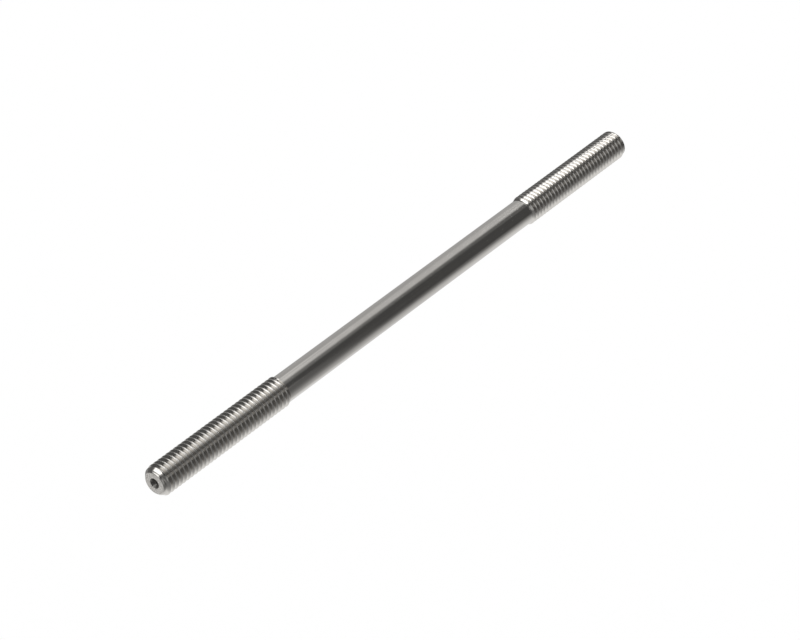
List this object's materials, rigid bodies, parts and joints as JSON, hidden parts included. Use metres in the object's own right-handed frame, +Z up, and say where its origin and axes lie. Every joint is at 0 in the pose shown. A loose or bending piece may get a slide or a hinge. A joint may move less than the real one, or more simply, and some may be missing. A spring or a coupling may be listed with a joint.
{
  "type": "adjusting bolt",
  "caption": "Straight round steel adjusting rod with a plain shank and a metric screw thread on each end, chamfered and centre drilled.",
  "frame": {"origin": "on the rod's axis, halfway along it", "axes": "+X along the rod's axis, which is the same both ways, and +Z up"},
  "size_m": [0.1354, 0.006, 0.006],
  "materials": {
    "steel": "bright steel with fine drawing and rolling marks, and faint turning rings on the end faces"
  },
  "bodies": {
    "root": {"adjusting_bolt": "steel"}
  },
  "joints": []
}
